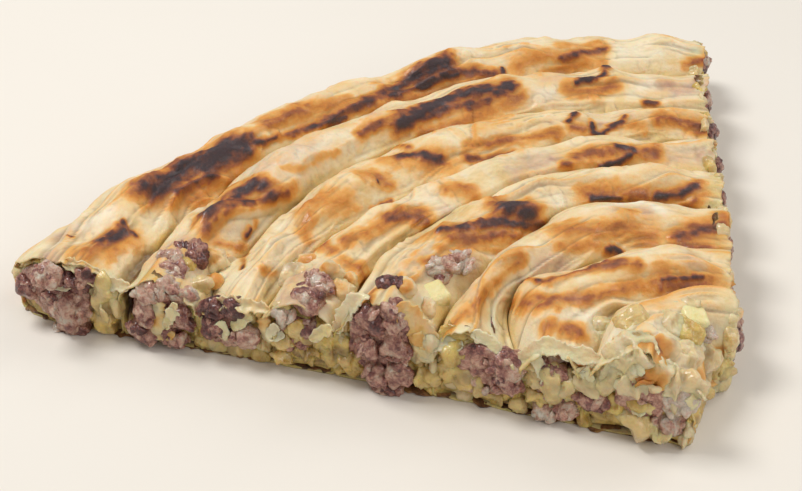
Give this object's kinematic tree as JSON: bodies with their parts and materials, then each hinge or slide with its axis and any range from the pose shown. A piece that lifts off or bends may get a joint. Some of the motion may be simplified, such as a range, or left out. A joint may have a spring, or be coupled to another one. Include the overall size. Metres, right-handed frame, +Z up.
{
  "type": "meat burek quarter",
  "caption": "Quarter of a coiled burek: browned rolls of thin dough round one centre, with minced meat and potato showing at two straight cuts.",
  "frame": {"origin": "middle of the footprint, on the surface that the quarter lies on", "axes": "+X along the longest side, from the thin tip towards the right cut; +Y away from the front cut; +Z up"},
  "size_m": [0.2558, 0.2278, 0.0351],
  "materials": {
    "dough": "baked thin dough, cream to burnt brown, oily sheen",
    "minced_meat": "moist cooked minced meat",
    "potato": "moist cooked potato",
    "crust": "browned base crust and crumbs"
  },
  "bodies": {
    "root": {"roll_1": "dough", "roll_2": "dough", "roll_3": "dough", "roll_4": "dough", "roll_5": "dough", "roll_6": "dough", "roll_7": "dough", "roll_8": "dough", "filling_1": "minced_meat", "filling_2": "minced_meat", "filling_3": "minced_meat", "filling_4": "minced_meat", "filling_5": "minced_meat", "filling_6": "minced_meat", "filling_7": "minced_meat", "filling_8": "minced_meat", "potato_1": "potato", "potato_2": "potato"}
  },
  "joints": []
}
